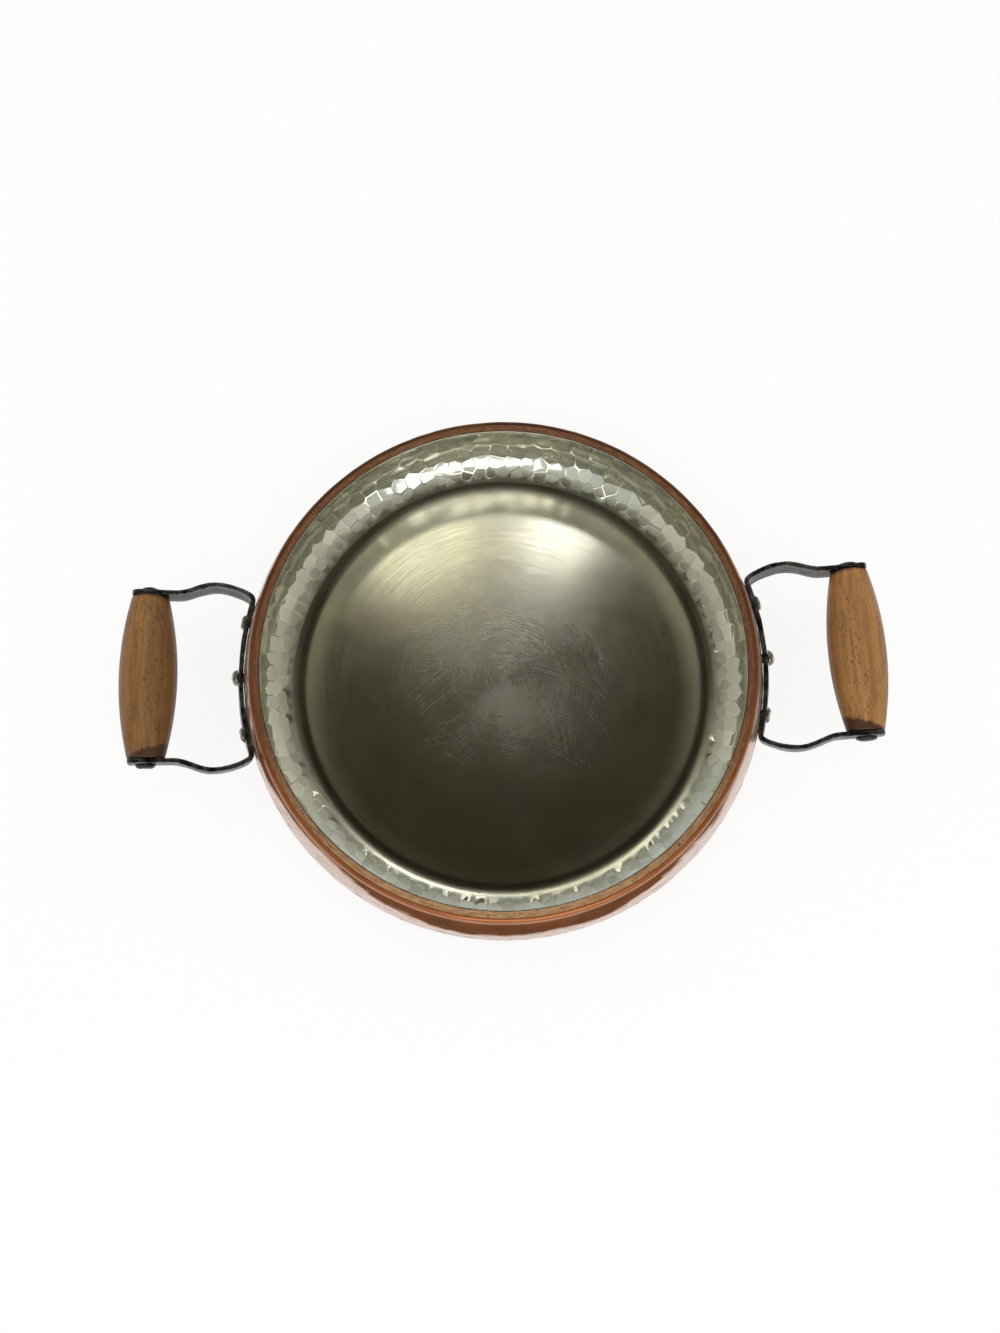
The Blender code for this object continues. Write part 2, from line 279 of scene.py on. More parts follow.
def tin_floor_finish():
    finish = Finish("tinned_floor")
    spread = finish.spread()
    rings = finish.noise(finish.around(2.2, spread * 1500), 1.0, 3, 0.65)
    fine_rings = finish.noise(finish.around(1.2, spread * 5200), 1.0, 2, 0.6)
    worn = finish.noise(finish.place, 24, 3, 0.55)
    arcs = scratches(finish)
    haze = finish.ranged(spread + worn * 0.06, 0.030, 0.105, 1, 0)
    colour = tin_colour(finish, (0.68, 0.66, 0.53), (0.60, 0.60, 0.52), (0.32, 0.30, 0.23))
    colour = finish.mixed(haze * 0.7, colour, (0.68, 0.68, 0.64))
    colour = finish.mixed(finish.ranged(rings, 0.35, 0.7, 0, 0.22), colour, (0.42, 0.41, 0.34))
    colour = finish.mixed(arcs * 0.22, colour, (0.90, 0.90, 0.86))
    rough = finish.ranged(rings, 0.3, 0.7, 0.13, 0.20) + finish.ranged(worn, 0.4, 0.7, 0, 0.04)
    rough = rough + haze * finish.ranged(worn, 0.35, 0.65, 0.06, 0.16)
    # Painted shade: a dark ring round the floor's edge where it meets the wall, weaker towards the
    # back.
    ring = finish.ranged(spread, 0.1090, 0.1105) * finish.ranged(spread, 0.1150, 0.1125)
    ring = ring * finish.ranged(finish.y / spread, 0.45, 0.9, 0.8, 0.15)
    colour = finish.mixed(ring, colour, (0.17, 0.165, 0.135))
    finish.bumped(rings * 0.5 + fine_rings + arcs * 0.5, 0.000012)
    return finish.close({
        "Base Color": colour, "Roughness": rough + arcs * 0.17, "Metallic": 1.0,
        "Anisotropic": 0.2, "Anisotropic Rotation": 0.25,
    })


def scratches(finish):
    """Long thin arcs left by stirring and wiping, most of them near the middle of the floor."""
    total = 0.0
    for seed, (x, y, density) in enumerate((
        (-0.04, -0.08, 2600), (-0.02, -0.13, 3000), (-0.07, -0.05, 2800), (0.05, -0.12, 3200),
    )):
        across, along = finish.x - x, finish.y - y
        reach = finish.maths("SQRT", across * across + along * along)
        turn = finish.maths("ARCTAN2", along, across)
        lined = finish.joined(reach * density * 1.3, turn * 1.5, seed * 5.0)
        line = finish.noise(lined, 1.0, 1, 0.5)
        patch = finish.noise(finish.vector("ADD", finish.place, (seed * 0.3, 0, 0)), 26, 2, 0.5)
        total = finish.ranged(line, 0.62, 0.78) * finish.ranged(patch, 0.44, 0.68) + total
    total = finish.maths("MINIMUM", total, 1.0)
    return total * finish.ranged(finish.spread(), 0.035, 0.085, 1, 0.06)


def copper_finish():
    """Copper with a brown band below the rim, partly browned metal and partly painted shade, made
    diffuse below the shoulder; the band reaches further down at the front, where its shoulder is
    lighter as a painted highlight; brighter copper round the belly.
    """
    finish = Finish("worn_copper")
    facet = finish.node("ShaderNodeAttribute", {"attribute_name": "blow"}, out="Fac")
    clouds = finish.noise(finish.place, 35, 4, 0.6)
    forward = finish.y / finish.spread() * -1.0
    cloudy = finish.ranged(clouds, 0.35, 0.65)
    # Painted shade and highlight: at the back the band stays dark brown; at the front the shoulder
    # is lighter as a painted highlight.
    brown_and_painted_shade = finish.mixed(
        finish.ranged(forward, -0.5, 0.6),
        finish.mixed(cloudy, (0.17, 0.064, 0.026), (0.10, 0.040, 0.018)),
        finish.mixed(
            finish.ranged(finish.z, 0.0604, 0.0622),
            finish.mixed(cloudy, (0.19, 0.066, 0.023), (0.11, 0.040, 0.015)),
            finish.mixed(cloudy, (0.44, 0.165, 0.068), (0.32, 0.110, 0.042)),
        ),
    )
    bright = finish.mixed(cloudy, (0.64, 0.46, 0.39), (0.56, 0.37, 0.29))
    # Painted shade: the brown band reaches 16 mm further down at the front.
    front = finish.ranged(forward, 0.72, 1.0)
    band_wobble = finish.noise(finish.around(1.1, 3.0), 1.0, 2, 0.5)
    reach = front * 0.016 + finish.ranged(band_wobble, 0.5, 0.8) * 0.012
    border = finish.z + reach + clouds * 0.006 + facet * 0.003 - 0.005
    # The brown band is partly browned copper and partly painted shade; below the shoulder it is
    # made nearly non-metallic, so it does not reflect.
    browned_and_painted_shade = finish.ranged(border, 0.0575, 0.0615)
    colour = finish.mixed(browned_and_painted_shade, bright, brown_and_painted_shade)
    stains = finish.noise(finish.place, 120, 6, 0.7)
    colour = finish.mixed(finish.ranged(stains, 0.60, 0.80, 0, 0.22), colour, (0.30, 0.12, 0.055))
    polish = finish.noise(finish.around(3, finish.z * 1400), 1.0, 2, 0.6)
    rough = finish.ranged(polish, 0.3, 0.7, 0.14, 0.20) + finish.ranged(stains, 0.55, 0.8, 0, 0.2)
    grain = finish.noise(finish.place, 700, 3, 0.6)
    finish.bumped(grain + polish * 0.4, 0.000015)
    return finish.close({
        "Base Color": colour, "Roughness": rough + browned_and_painted_shade * 0.12,
        "Metallic": 0.7 - browned_and_painted_shade * finish.ranged(finish.z, 0.0606, 0.0622, 0.65, -0.15),
        "Specular IOR Level": 0.0,
        "Coat Weight": finish.ranged(browned_and_painted_shade, 0, 1, 0.2, 0), "Coat Roughness": 0.12,
    })


def rim_finish():
    """The bare edge of the rim: filed, pitted and browned, golden at the front as a painted
    highlight and dark brown at the back as painted shade.
    """
    finish = Finish("filed_rim")
    streaks = finish.noise(finish.around(26, finish.spread() * 900), 1.0, 4, 0.7)
    streaky = finish.ranged(streaks, 0.35, 0.65)
    forward = finish.y / finish.spread() * -1.0
    # Painted highlight and shade: the rim is golden at the front and dark brown at the back.
    colour = finish.mixed(
        finish.ranged(forward, 0.25, 0.95),
        finish.mixed(streaky, (0.24, 0.105, 0.046), (0.12, 0.048, 0.021)),
        finish.mixed(streaky, (0.66, 0.42, 0.22), (0.36, 0.17, 0.075)),
    )
    pits = finish.noise(finish.place, 620, 3, 0.6)
    blotches = finish.noise(finish.place, 90, 3, 0.6)
    dark = finish.ranged(pits, 0.57, 0.66) * finish.ranged(blotches, 0.42, 0.62)
    colour = finish.mixed(dark * 0.85, colour, (0.07, 0.03, 0.016))
    rough = finish.ranged(streaks, 0.3, 0.7, 0.27, 0.42) + dark * 0.25
    finish.bumped(streaks - dark * 1.6, 0.00009)
    return finish.close({"Base Color": colour, "Roughness": rough, "Metallic": 0.5})


def base_finish():
    """The copper underside: turned rings, heat colours and rubbed scratches."""
    finish = Finish("copper_underside")
    spread = finish.spread()
    rings = finish.noise(finish.around(0.4, spread * 1300), 1.0, 3, 0.6)
    heat = finish.noise(finish.place, 22, 4, 0.6)
    colour = finish.mixed(
        finish.ranged(heat, 0.35, 0.65), (0.62, 0.26, 0.12), (0.40, 0.17, 0.085)
    )
    soot = finish.noise(finish.place, 60, 6, 0.7)
    colour = finish.mixed(finish.ranged(soot, 0.55, 0.75, 0, 0.6), colour, (0.10, 0.05, 0.03))
    lines = scratches(finish)
    colour = finish.mixed(lines * 0.5, colour, (0.85, 0.48, 0.30))
    rough = finish.ranged(rings, 0.3, 0.7, 0.28, 0.40) + finish.ranged(soot, 0.5, 0.8, 0, 0.2)
    finish.bumped(rings + lines, 0.00003)
    return finish.close({"Base Color": colour, "Roughness": rough, "Metallic": 1.0})


def iron_finish(name, wear):
    """Blackened strip iron with scale, forge dimples and brighter rubbed places."""
    finish = Finish(name)
    scale = finish.noise(finish.place, 260, 5, 0.65)
    clouds = finish.noise(finish.place, 45, 3, 0.6)
    colour = finish.mixed(
        finish.ranged(scale, 0.35, 0.7), (0.016, 0.0155, 0.015), (0.050, 0.048, 0.045)
    )
    edge = finish.node("ShaderNodeAttribute", {"attribute_name": "edge"}, out="Fac")
    rubbed = finish.ranged(clouds, 0.46, 0.66) * wear + edge * finish.ranged(scale, 0.42, 0.66)
    colour = finish.mixed(finish.maths("MINIMUM", rubbed, 1.0) * 0.6, colour, (0.30, 0.29, 0.28))
    rust = finish.noise(finish.place, 180, 4, 0.7)
    colour = finish.mixed(finish.ranged(rust, 0.64, 0.76, 0, 0.5), colour, (0.12, 0.055, 0.025))
    rough = finish.ranged(scale, 0.3, 0.7, 0.30, 0.48) - rubbed * 0.06
    dimples = finish.noise(finish.place, 340, 2, 0.5)
    finish.bumped(scale * 0.6 + dimples, 0.00012)
    return finish.close({"Base Color": colour, "Roughness": rough, "Metallic": 1.0})


def rivet_finish():
    finish = Finish("tinned_rivet")
    clouds = finish.noise(finish.place, 300, 4, 0.6)
    colour = finish.mixed(finish.ranged(clouds, 0.35, 0.65), (0.50, 0.47, 0.40), (0.27, 0.25, 0.21))
    dimples = finish.noise(finish.place, 520, 2, 0.5)
    rough = finish.ranged(clouds, 0.3, 0.7, 0.26, 0.42)
    finish.bumped(dimples + clouds * 0.4, 0.00012)
    return finish.close({"Base Color": colour, "Roughness": rough, "Metallic": 1.0})


def wood_finish(name, light, dark, offset):
    """Oiled hardwood with growth streaks, fine open pores, and painted shadow darkening both ends
    where the strap's arms shade them.
    """
    finish = Finish(name)
    centred = finish.vector("ADD", finish.place, offset)
    grain = finish.noise(finish.stretched(centred, (420, 16, 320)), 1.0, 4, 0.65, 0.5)
    bands = finish.noise(finish.stretched(centred, (95, 5, 80)), 1.0, 2, 0.5, 0.8)
    colour = finish.mixed(finish.ranged(bands, 0.32, 0.68), light, dark)
    deep = [part * 0.5 for part in dark]
    colour = finish.mixed(finish.ranged(grain, 0.42, 0.72, 0, 0.7), colour, deep)
    pores = finish.noise(finish.stretched(centred, (1900, 420, 1900)), 1.0, 2, 0.5)
    patches = finish.noise(finish.stretched(centred, (130, 40, 130)), 1.0, 2, 0.5)
    pore = finish.ranged(pores, 0.58, 0.68) * finish.ranged(patches, 0.35, 0.6, 0.35, 1)
    colour = finish.mixed(pore * 0.8, colour, [part * 0.16 for part in dark])
    # Painted shadow of the strap's arms: a dark wedge on the front end, deeper towards the pot, and
    # a dark band on the back end.
    inwards = GRIP_AXIS - finish.maths("ABSOLUTE", finish.x)
    front = finish.ranged(inwards * 0.34 - finish.y + grain * 0.003, 0.0385, 0.0400)
    back = finish.ranged(inwards * 0.10 + finish.y + grain * 0.003, 0.0410, 0.0425)
    painted_end_shadow = finish.maths("MAXIMUM", front, back)
    colour = finish.mixed(painted_end_shadow * 0.95, colour, (0.050, 0.018, 0.008))
    rough = finish.ranged(grain, 0.3, 0.7, 0.36, 0.48) + pore * 0.2
    finish.bumped(grain * 0.3 - pore, 0.00010)
    return finish.close({
        "Base Color": colour, "Roughness": rough, "Coat Weight": 0.05, "Coat Roughness": 0.3,
        "Specular IOR Level": 0.3,
    })


# Outlines


def shares(count):
    """Evenly spaced shares from 0 to 1, both ends included."""
    return [step / count for step in range(count + 1)]


def beside(path, distance):
    """The path moved a distance to the left of its run, with mitred corners."""
    runs = [(end - start).normalized() for start, end in zip(path, path[1:])]
    moved = []
    for place, before, after in zip(path, runs[:1] + runs, runs + runs[-1:]):
        square = Vector((-before.y, before.x))
        mitre = (square + Vector((-after.y, after.x))).normalized()
        moved.append(place + mitre * distance / mitre.dot(square))
    return moved


def rounded(before, corner, after, radius, points):
    """Points of the arc that rounds the corner between two straight runs."""
    first = (before - corner).normalized()
    second = (after - corner).normalized()
    half_angle = first.angle(second) / 2
    centre = corner + (first + second).normalized() * radius / math.sin(half_angle)
    start = corner + first * radius / math.tan(half_angle) - centre
    end = corner + second * radius / math.tan(half_angle) - centre
    sweep = start.angle(end) * (1 if start.cross(end) > 0 else -1)
    begin = math.atan2(start.y, start.x)
    angles = [begin + sweep * share for share in shares(points)]
    return [centre + radius * Vector((math.cos(angle), math.sin(angle))) for angle in angles]


def wall_rise():
    return POT_HEIGHT - SHOULDER_DROP - BELLY_HEIGHT


def wall_radius(height):
    """Outer radius of the pot at a height."""
    if height < BELLY_HEIGHT:
        drop = min(1, 1 - height / BELLY_HEIGHT)
        return BASE_RADIUS + (BELLY_RADIUS - BASE_RADIUS) * math.sqrt(1 - drop**2)
    climb = min(1, (height - BELLY_HEIGHT) / wall_rise())
    return BELLY_RADIUS - (BELLY_RADIUS - SHOULDER_RADIUS) * climb**WALL_ROUND_EXPONENT


def wall_lean(height):
    """Angle between the wall and the upright at a height."""
    climb = max(0, height - BELLY_HEIGHT) / wall_rise()
    mean_slope = (BELLY_RADIUS - SHOULDER_RADIUS) / wall_rise()
    return math.atan(mean_slope * WALL_ROUND_EXPONENT * climb ** (WALL_ROUND_EXPONENT - 1))


def outer_corner(count):
    """Outer face from the base's edge up to the belly."""
    corner = []
    for share in shares(count):
        turn = share * math.pi / 2
        radius = BASE_RADIUS + (BELLY_RADIUS - BASE_RADIUS) * math.sin(turn)
        corner.append(Vector((radius, BELLY_HEIGHT * (1 - math.cos(turn)))))
    return corner


def outer_upper(count):
    """Outer face from the belly up to the rim's shoulder."""
    heights = [BELLY_HEIGHT + share * wall_rise() for share in shares(count)]
    return [Vector((wall_radius(height), height)) for height in heights]


def outer_face():
    return outer_corner(40) + outer_upper(32)[1:]


# Meshes


def collected(name, mesh):
    thing = bpy.data.objects.new(name, mesh)
    bpy.context.scene.collection.objects.link(thing)
    return thing


def finished(name, mesh, materials, body, slot, *nodes):
    """A finished piece: it wears its materials, rides its body and stands for its nodes."""
    thing = collected(name, mesh)
    if not mesh.materials:
        for material in materials:
            mesh.materials.append(material)
    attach(thing, body)
    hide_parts(*nodes)
    return thing


def plain_mesh(name, shape):
    """The shape as a mesh with closed seams and faces that point outwards."""
    bmesh.ops.remove_doubles(shape, verts=shape.verts, dist=WELD_DISTANCE)
    bmesh.ops.recalc_face_normals(shape, faces=shape.faces)
    mesh = bpy.data.meshes.new(name)
    shape.to_mesh(mesh)
    shape.free()
    mesh.shade_smooth()
    return mesh


def ring_on(shape, before, places):
    """Joins a ring of vertices to the next ring, or to one vertex on the axis."""
    after = [shape.verts.new(place) for place in places]
    count = len(before)
    for index in range(count):
        start, end = before[index], before[(index + 1) % count]
        if len(after) == 1:
            shape.faces.new((start, end, after[0]))
        else:
            shape.faces.new((start, end, after[(index + 1) % count], after[index]))
    return after


def turned(shape, section, angles, ring=None):
    """Carries a section round the Z axis, from a ring that is there or from the axis."""
    for radius, height in section:
        if radius == 0:
            places = [Vector((0, 0, height))]
        else:
            places = [
                Vector((radius * math.cos(angle), radius * math.sin(angle), height))
                for angle in angles
            ]
        if ring is None:
            ring = [shape.verts.new(place) for place in places]
        elif len(ring) == 1:
            centre = ring[0]
            ring = [shape.verts.new(place) for place in places]
            for index, vertex in enumerate(ring):
                shape.faces.new((centre, vertex, ring[(index + 1) % len(ring)]))
        else:
            ring = ring_on(shape, ring, places)
    return ring


def even_angles(count):
    return [2 * math.pi * step / count for step in range(count)]


def roughened(shape, depth, size, seed, keep=None):
    """Moves each vertex along its normal by a smooth random amount."""
    shape.normal_update()
    shift = Vector((seed * 17.3, seed * 5.1, seed * 9.7))
    for vertex in shape.verts:
        share = 1 if keep is None else keep(vertex.co)
        push = noise.noise(vertex.co / size + shift)
        vertex.co += vertex.normal * push * depth * share


class Track:
    """A line that is walked by distance."""

    def __init__(self, path):
        self.path = path
        self.lengths = [0.0]
        for start, end in zip(path, path[1:]):
            self.lengths.append(self.lengths[-1] + (end - start).length)

    def at(self, distance):
        index = bisect.bisect_right(self.lengths, distance, 1, len(self.path) - 1) - 1
        share = (distance - self.lengths[index]) / (self.lengths[index + 1] - self.lengths[index])
        return self.path[index].lerp(self.path[index + 1], share)

    def bend(self, distance):
        """How sharply the line turns at a distance: 1 over the radius."""
        shifts = (-BEND_STEP, 0, BEND_STEP)
        before, place, after = (self.at(distance + shift) for shift in shifts)
        return (place - before).angle(after - place) / BEND_STEP

    def reaches(self, height):
        """Distance at which a rising line gets to a height."""
        for index, (start, end) in enumerate(zip(self.path, self.path[1:])):
            if end.y >= height:
                share = (height - start.y) / (end.y - start.y)
                return self.lengths[index] + share * (end - start).length
        return self.lengths[-1]


# Hammered walls, laid out flat: x runs round the wall, y along its line, z into the metal


def blows(start, end, rows, growth, seed):
    """The middle of each blow, in rings of blows that widen upwards."""
    chance = random.Random(seed)
    heights = [growth**row for row in range(rows)]
    heights = [height * (end - start) / sum(heights) for height in heights]
    struck, low = [], start
    for row, height in enumerate(heights):
        count = round(LAID_LENGTH / (height * BLOW_WIDTH_SHARE))
        for blow in range(count):
            aside = chance.uniform(-1, 1) * BLOW_SCATTER_SHARE
            upwards = chance.uniform(-1, 1) * BLOW_SCATTER_SHARE * height
            turn = (blow + row * 0.5 + aside) / count % 1
            struck.append(Vector((LAID_LENGTH * turn, low + height / 2 + upwards)))
        low += height
    return struck


def smooth_places(start, end):
    """Small plain cells that fill the part of the wall that was left smooth."""
    rows = max(1, round((end - start) / SMOOTH_STEP))
    return [
        Vector((LAID_LENGTH * step / SMOOTH_COUNT, start + (end - start) * (row + 0.5) / rows))
        for row in range(rows) for step in range(SMOOTH_COUNT)
    ]


def clipped(outline, facing, limit):
    """What is left of an outline behind a line."""
    kept = []
    for corner, following in zip(outline, outline[1:] + outline[:1]):
        inside = limit - facing.dot(corner)
        following_inside = limit - facing.dot(following)
        if inside >= 0:
            kept.append(corner)
        if (inside >= 0) != (following_inside >= 0):
            kept.append(corner.lerp(following, inside / (inside - following_inside)))
    return kept


def finder(middles):
    """Finds middles near a place, also across the seam where the wall closes."""
    places = [
        Vector((middle.x + turn * LAID_LENGTH, middle.y, 0))
        for middle in middles for turn in (-1, 0, 1)
        if -STRUCK_RANGE < middle.x + turn * LAID_LENGTH < LAID_LENGTH + STRUCK_RANGE
    ]
    near = kdtree.KDTree(len(places))
    for index, place in enumerate(places):
        near.insert(place, index)
    near.balance()
    return near


def cells(middles, others, own_range, low, high):
    """The outline of each blow: every place that lies nearer to it than to any other."""
    groups = [(finder(middles), own_range), (finder(others), STRUCK_RANGE)]
    found = []
    for middle in middles:
        outline = [Vector(corner) * CELL_REACH for corner in ((-1, -1), (1, -1), (1, 1), (-1, 1))]
        outline = clipped(outline, Vector((0, 1)), high - middle.y)
        outline = clipped(outline, Vector((0, -1)), middle.y - low)
        for near, reach in groups:
            for place, _, distance in near.find_range(middle.to_3d(), reach):
                if distance > 0:
                    across = place.xy - middle
                    outline = clipped(outline, across, across.length_squared / 2)
        found.append((middle, outline))
    return found


def laid_out_wall(name, track, distances, marks):
    """The wall's cells, laid out flat.

    Face attributes tell which cells were struck, where their middles lie, how much the wall
    bends upwards there, how far a flat blow stands off the wall, and how broad the cell is.
    """
    low, start, end, high = distances
    struck = blows(start, end, **marks)
    smooth = smooth_places(low, start) + smooth_places(end, high)
    shape = bmesh.new()
    layers = {
        name: shape.faces.layers.float.new(name)
        for name in ("struck", "middle_x", "middle_y", "bend", "stand", "breadth")
    }
    for outlines, value in (
        (cells(struck, smooth, STRUCK_RANGE, low, high), 1.0),
        (cells(smooth, struck, SMOOTH_RANGE, low, high), 0.0),
    ):
        for middle, outline in outlines:
            if len(outline) < 3:
                continue
            bend = track.bend(middle.y)
            stand = sum(
                corner.x**2 / LAID_RADIUS + corner.y**2 * bend for corner in outline
            ) / 2 / len(outline)
            face = shape.faces.new(
                [shape.verts.new((middle + corner).to_3d()) for corner in outline]
            )
            breadth = sum(corner.length_squared for corner in outline) / len(outline)
            values = (value, middle.x, middle.y, bend, stand, breadth)
            for layer, amount in zip(layers.values(), values):
                face[layer] = amount
    bmesh.ops.remove_doubles(shape, verts=shape.verts, dist=CREASE_WELD)
    bmesh.ops.dissolve_degenerate(shape, edges=shape.edges, dist=CREASE_WELD)
    mesh = bpy.data.meshes.new(name)
    shape.to_mesh(mesh)
    shape.free()
    return mesh


def started_tree(name, output, inputs):
    """A new Geometry Nodes tree as a plan, with its inputs by name."""
    tree = bpy.data.node_groups.new(name, "GeometryNodeTree")
    for label, kind in inputs.items():
        tree.interface.new_socket(label, in_out="INPUT", socket_type="NodeSocket" + kind)
    tree.interface.new_socket(output, in_out="OUTPUT", socket_type="NodeSocketGeometry")
    plan = Plan(tree)
    given = plan.node("NodeGroupInput").socket.node
    return plan, {socket.name: Wire(plan, socket) for socket in given.outputs}


def ended_tree(plan, geometry, material):
    """Ends a tree on one realised geometry that wears the material."""
    geometry = plan.node("GeometryNodeRealizeInstances", None, {"Geometry": geometry})
    geometry = plan.node(
        "GeometryNodeSetMaterial", None, {"Geometry": geometry, "Material": material}
    )
    plan.feed(plan.tree.nodes.new("NodeGroupOutput").inputs[0], geometry)
    return plan.tree


def hammer_tree():
    """Rounds each struck cell's creases, hollows its middle, and rolls the wall up on its line."""
    plan, given = started_tree("hammer_marks", "Wall", {
        "Cells": "Geometry", "Line": "Object", "Laid length": "Float", "Crease share": "Float",
        "Tilt": "Float", "Dish": "Float", "Deepest": "Float", "Seed": "Int",
        "Material": "Material",
    })

    def attribute(name):
        return plan.node(
            "GeometryNodeInputNamedAttribute", {"data_type": "FLOAT"}, {"Name": name}
        )

    def chance(low, high, shift):
        values = {2: low, 3: high, "Seed": given["Seed"] + shift}
        return plan.node("FunctionNodeRandomValue", {"data_type": "FLOAT"}, values, out=1)

    wall = given["Cells"]
    for name, value in (
        ("blow", chance(0.2, 1.0, 0) * attribute("struck")), ("flatness", chance(0.4, 0.9, 1)),
        ("dish", chance(0.4, 1.4, 4) * given["Dish"]),
        ("tilt_x", chance(-1.0, 1.0, 2) * given["Tilt"]),
        ("tilt_y", chance(-1.0, 1.0, 3) * given["Tilt"]),
    ):
        wall = plan.node(
            "GeometryNodeStoreNamedAttribute", {"data_type": "FLOAT", "domain": "FACE"},
            {"Geometry": wall, "Name": name, "Value": value},
        )
    x, y, _ = plan.parts(plan.node("GeometryNodeInputPosition"))
    across, upwards = x - attribute("middle_x"), y - attribute("middle_y")
    flat = across * across / LAID_RADIUS + upwards * upwards * attribute("bend")
    deep = (flat * 0.5 - attribute("stand")) * attribute("flatness")
    dished = attribute("breadth") - across * across - upwards * upwards
    deep = deep + dished * attribute("dish") * 0.5
    tilted = across * attribute("tilt_x") + upwards * attribute("tilt_y")
    deep = deep + tilted / (attribute("bend") * TILT_EASE + 1)
    deep = plan.maths("MINIMUM", deep, given["Deepest"])
    chosen = attribute("struck")
    for scale in (1 - given["Crease share"], *CELL_SCALES):
        raised = plan.node("GeometryNodeExtrudeMesh", {"mode": "FACES"}, {
            "Mesh": wall, "Selection": chosen, "Individual": True, "Offset Scale": 0.0,
        }).socket.node
        chosen = Wire(plan, raised.outputs["Top"])
        wall = plan.node("GeometryNodeScaleElements", {"domain": "FACE"}, {
            "Geometry": Wire(plan, raised.outputs["Mesh"]), "Selection": chosen, "Scale": scale,
        })
        wall = plan.node("GeometryNodeSetPosition", None, {
            "Geometry": wall, "Selection": chosen, "Position": plan.joined(x, y, deep),
        })

    x, y, z = plan.parts(plan.node("GeometryNodeInputPosition"))
    line = plan.node("GeometryNodeObjectInfo", None, {"Object": given["Line"]}, out="Geometry")
    line = plan.node("GeometryNodeMeshToCurve", None, {"Mesh": line})
    sample = plan.node(
        "GeometryNodeSampleCurve", {"mode": "LENGTH", "use_all_curves": False},
        {"Curves": line, "Length": y}, out="Position",
    ).socket.node
    radius, _, height = plan.parts(Wire(plan, sample.outputs["Position"]))
    run_out, _, run_up = plan.parts(Wire(plan, sample.outputs["Tangent"]))
    angle = x / given["Laid length"] * (2 * math.pi)
    reach = radius + run_up * z
    wall = plan.node("GeometryNodeSetPosition", None, {
        "Geometry": wall,
        "Position": plan.joined(
            reach * plan.maths("COSINE", angle), reach * plan.maths("SINE", angle),
            height - run_out * z,
        ),
    })
    return ended_tree(plan, wall, given["Material"])


def grown(host, tree, inputs):
    """The plain mesh that a tree makes on a host, which is then removed."""
    modifier = host.modifiers.new(tree.name, "NODES")
    modifier.node_group = tree
    for item in tree.interface.items_tree:
        if item.item_type == "SOCKET" and item.in_out == "INPUT" and item.name in inputs:
            modifier[item.identifier] = inputs[item.name]
    bpy.context.view_layer.update()
    graph = bpy.context.evaluated_depsgraph_get()
    mesh = bpy.data.meshes.new_from_object(host.evaluated_get(graph))
    host.modifiers.remove(modifier)
    bpy.data.objects.remove(host)
    return mesh


def hammered_shell(name, track, distances, marks, tree, inputs, below, above):
    """A closed shell: a hammered wall, and plain turned walls from both its ends to the axis."""
    line = bpy.data.meshes.new(name + "_line")
    edges = [(index, index + 1) for index in range(len(track.path) - 1)]
    line.from_pydata([(place.x, 0, place.y) for place in track.path], edges, [])
    line = collected(name + "_line", line)
    host = collected(name + "_cells", laid_out_wall(name + "_cells", track, distances, marks))
    hammered = grown(host, tree, {"Line": line, "Laid length": LAID_LENGTH, **inputs})
    bpy.data.objects.remove(line)
    shape = bmesh.new()
    shape.from_mesh(hammered)
    bpy.data.meshes.remove(hammered)
    bmesh.ops.remove_doubles(shape, verts=shape.verts, dist=CREASE_WELD)
    border = [vertex for vertex in shape.verts if vertex.is_boundary]
    middle = sum(vertex.co.z for vertex in border) / len(border)
    for section, upper in ((below, False), (above, True)):
        ring = [vertex for vertex in border if (vertex.co.z > middle) == upper]
        ring.sort(key=lambda vertex: math.atan2(vertex.co.y, vertex.co.x))
        angles = [math.atan2(vertex.co.y, vertex.co.x) for vertex in ring]
        turned(shape, section, angles, ring)
    return shape


def floor_rings(radius, height, rise):
    """The floor inside: flat, pressed up a little within a faint line near its edge."""
    line = radius * FLOOR_LINE_SHARE
    return [
        Vector((0, height + rise)), Vector((0.03, height + rise)), Vector((0.06, height + rise)),
        Vector((line - 0.006, height + rise)), Vector((line - 0.0004, height + rise)),
        Vector((line + 0.0004, height + rise * 0.93)),
        Vector((radius - 0.0045, height + rise * 0.3)),
        Vector((radius - 0.0015, height + rise * 0.06)),
    ]


